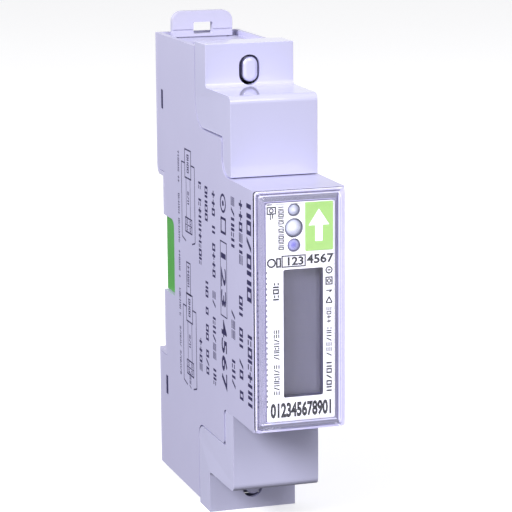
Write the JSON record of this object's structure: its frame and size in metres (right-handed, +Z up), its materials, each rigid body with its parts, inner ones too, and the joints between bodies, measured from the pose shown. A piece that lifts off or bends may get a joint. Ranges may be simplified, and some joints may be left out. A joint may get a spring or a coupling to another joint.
{
  "type": "smart electric meter",
  "caption": "Slim rail-mounted electricity meter with a stepped grey case, a clear window over the display, pull-off terminal covers and a sprung rail clip.",
  "frame": {"origin": "on the rail seat, at the rail's centre line and the middle of the module's width", "axes": "+Z up along the rail's height, -Y out of the front, +X to the right seen from the front"},
  "size_m": [0.0176, 0.0655, 0.0954],
  "materials": {
    "housing": "glossy moulded light grey with a lavender cast",
    "cover": "polished moulded light grey",
    "base": "moulded light grey",
    "clip": "moulded light grey",
    "post": "moulded light grey",
    "pad": "moulded green",
    "window": "clear moulded polycarbonate",
    "label": "printed white film",
    "sticker": "printed green film",
    "display": "grey liquid crystal glass",
    "lens": "clear moulded resin",
    "black_plastic": "moulded black",
    "rubber": "conductive elastomer",
    "board": "glass-fibre board with green solder mask",
    "steel": "zinc-plated steel",
    "copper": "bare rolled copper",
    "manganin": "rolled resistance alloy",
    "plated_screw": "nickel-plated",
    "terminal_block": "moulded green",
    "film_capacitor": "moulded yellow box",
    "sleeve": "shrunk black sleeve",
    "varistor": "blue epoxy coating"
  },
  "bodies": {
    "meter": {"front_housing": "housing", "rear_base": "base", "rail_pad": "pad", "clip_spring": "steel", "upper_seal_post": "post", "lower_seal_post": "post", "window_cover": "window", "label_plate": "label", "arrow_sticker": "sticker", "lcd_glass": "display", "lcd_holder": "black_plastic", "zebra_strip_left": "rubber", "zebra_strip_right": "rubber", "display_board": "board", "pulse_led": "lens", "optical_lens": "lens", "infrared_led": "lens", "main_board": "board", "board_connector": "black_plastic", "microcontroller": "black_plastic", "metering_chip": "black_plastic", "crystal": "steel", "optocoupler": "black_plastic", "supply_capacitor": "film_capacitor", "smoothing_capacitor": "sleeve", "varistor": "varistor", "input_busbar": "copper", "output_busbar": "copper", "neutral_busbar": "copper", "shunt": "manganin", "auxiliary_block": "terminal_block"},
    "rail_clip": {"rail_clip": "clip"},
    "upper_cover": {"upper_terminal_cover": "cover"},
    "lower_cover": {"lower_terminal_cover": "cover"},
    "input_screw": {"input_screw": "plated_screw"},
    "input_cage": {"input_cage": "steel"},
    "output_screw": {"output_screw": "plated_screw"},
    "output_cage": {"output_cage": "steel"},
    "neutral_screw": {"neutral_screw": "plated_screw"},
    "neutral_cage": {"neutral_cage": "steel"},
    "auxiliary_screw_1": {"auxiliary_screw_1": "plated_screw"},
    "auxiliary_screw_2": {"auxiliary_screw_2": "plated_screw"}
  },
  "joints": [
    {"name": "rail_clip_lift", "type": "slide", "parent": "meter", "child": "rail_clip", "axis": [0, 0, 1], "range_m": [0, 0.003], "stiffness_N_per_m": 200, "springref_m": -0.003, "deforming": ["clip_spring"]},
    {"name": "upper_cover_pull", "type": "slide", "parent": "meter", "child": "upper_cover", "axis": [0, -1, 0], "range_m": [0, 0.03]},
    {"name": "lower_cover_pull", "type": "slide", "parent": "meter", "child": "lower_cover", "axis": [0, -1, 0], "range_m": [0, 0.03]},
    {"name": "input_screw_turn", "type": "hinge", "parent": "meter", "child": "input_screw", "pos_m": [-0.0039, -0.0197, -0.0352], "axis": [0, 1, 0], "range_deg": [0, 1620]},
    {"name": "input_cage_lift", "type": "slide", "parent": "meter", "child": "input_cage", "axis": [0, -1, 0], "range_m": [0, 0.00315]},
    {"name": "output_screw_turn", "type": "hinge", "parent": "meter", "child": "output_screw", "pos_m": [0.0039, -0.0197, -0.0352], "axis": [0, 1, 0], "range_deg": [0, 1620]},
    {"name": "output_cage_lift", "type": "slide", "parent": "meter", "child": "output_cage", "axis": [0, -1, 0], "range_m": [0, 0.00315]},
    {"name": "neutral_screw_turn", "type": "hinge", "parent": "meter", "child": "neutral_screw", "pos_m": [-0.0039, -0.0197, 0.0392], "axis": [0, 1, 0], "range_deg": [0, 1620]},
    {"name": "neutral_cage_lift", "type": "slide", "parent": "meter", "child": "neutral_cage", "axis": [0, -1, 0], "range_m": [0, 0.00315]},
    {"name": "auxiliary_screw_1_turn", "type": "hinge", "parent": "meter", "child": "auxiliary_screw_1", "pos_m": [0.0022, -0.0177, 0.0392], "axis": [0, 1, 0], "range_deg": [0, 1440]},
    {"name": "auxiliary_screw_2_turn", "type": "hinge", "parent": "meter", "child": "auxiliary_screw_2", "pos_m": [0.0056, -0.0177, 0.0392], "axis": [0, 1, 0], "range_deg": [0, 1440]}
  ],
  "couplings": [
    {"joint": "input_screw_turn", "follows": "input_cage_lift", "rad_per_m": 8975.9},
    {"joint": "output_screw_turn", "follows": "output_cage_lift", "rad_per_m": 8975.9},
    {"joint": "neutral_screw_turn", "follows": "neutral_cage_lift", "rad_per_m": 8975.9}
  ]
}
